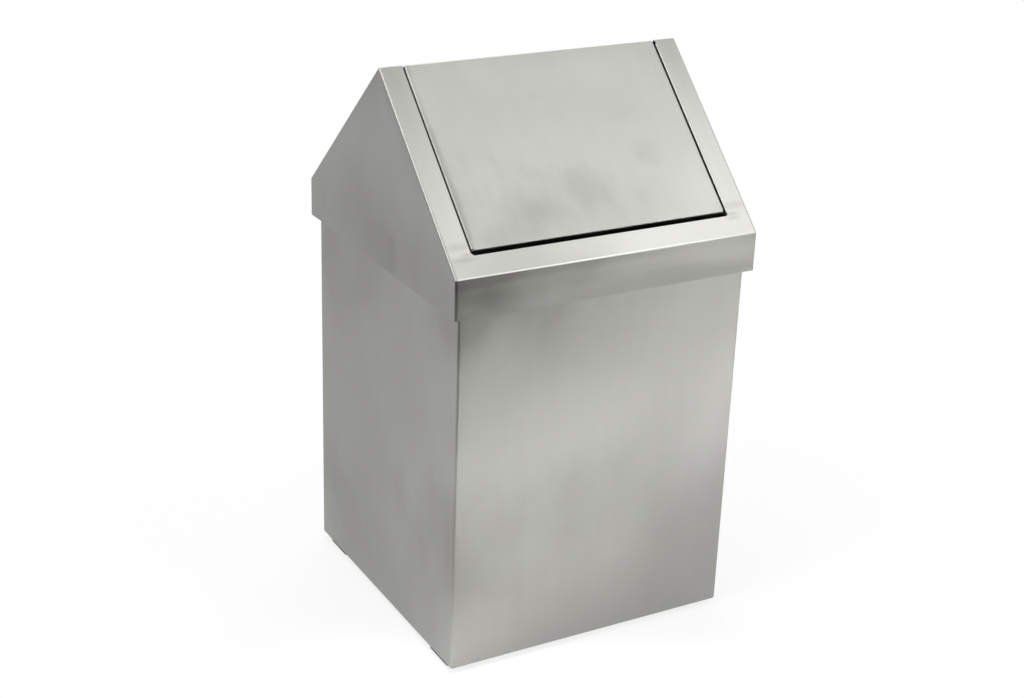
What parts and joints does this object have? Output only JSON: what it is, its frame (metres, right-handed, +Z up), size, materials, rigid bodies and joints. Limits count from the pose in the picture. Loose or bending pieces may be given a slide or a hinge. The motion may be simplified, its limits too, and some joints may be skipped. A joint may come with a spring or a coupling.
{
  "type": "swing-lid trash can",
  "caption": "Square folded-steel trash can with a lift-off gabled lid and a tent-shaped flap that swings both ways on a rod under the ridge.",
  "frame": {"origin": "middle of the footprint on the floor, under the feet", "axes": "+Z up; -Y is the front, the side that the picture shows to the right of its near corner; +X is the object's right seen from the front, along the ridge and the flap's rod"},
  "size_m": [0.4, 0.4, 0.6968],
  "materials": {
    "brushed_stainless": "satin, brushed along the sheet",
    "drawn_steel": "bright drawn",
    "zinc_steel": "zinc plated",
    "foot_rubber": "matt moulded",
    "black_nylon": "turned, matt"
  },
  "bodies": {
    "bin": {"body_wrap": "brushed_stainless", "rear_panel": "brushed_stainless", "base_pan": "brushed_stainless", "foot_front_left": "foot_rubber", "foot_front_right": "foot_rubber", "foot_rear_left": "foot_rubber", "foot_rear_right": "foot_rubber", "foot_screws": "zinc_steel", "foot_washers": "zinc_steel", "foot_nuts": "zinc_steel"},
    "lid": {"lid_front_apron": "brushed_stainless", "lid_rear_apron": "brushed_stainless", "lid_left_gable": "brushed_stainless", "lid_right_gable": "brushed_stainless", "lid_rest_left": "brushed_stainless", "lid_rest_right": "brushed_stainless", "pivot_bracket_left": "brushed_stainless", "pivot_bracket_right": "brushed_stainless", "pivot_bush_left": "black_nylon", "pivot_bush_right": "black_nylon"},
    "flap": {"flap_panel": "brushed_stainless", "flap_cheek_left": "brushed_stainless", "flap_cheek_right": "brushed_stainless", "pivot_rod": "drawn_steel", "rod_spacer_left": "black_nylon", "rod_spacer_right": "black_nylon", "rod_clips": "zinc_steel"}
  },
  "joints": [
    {"name": "lid_lift", "type": "slide", "parent": "bin", "child": "lid", "axis": [0, 0, 1], "range_m": [0, 0.25]},
    {"name": "flap_swing", "type": "hinge", "parent": "lid", "child": "flap", "pos_m": [0, 0, 0.668], "axis": [1, 0, 0], "range_deg": [-75, 75]}
  ]
}
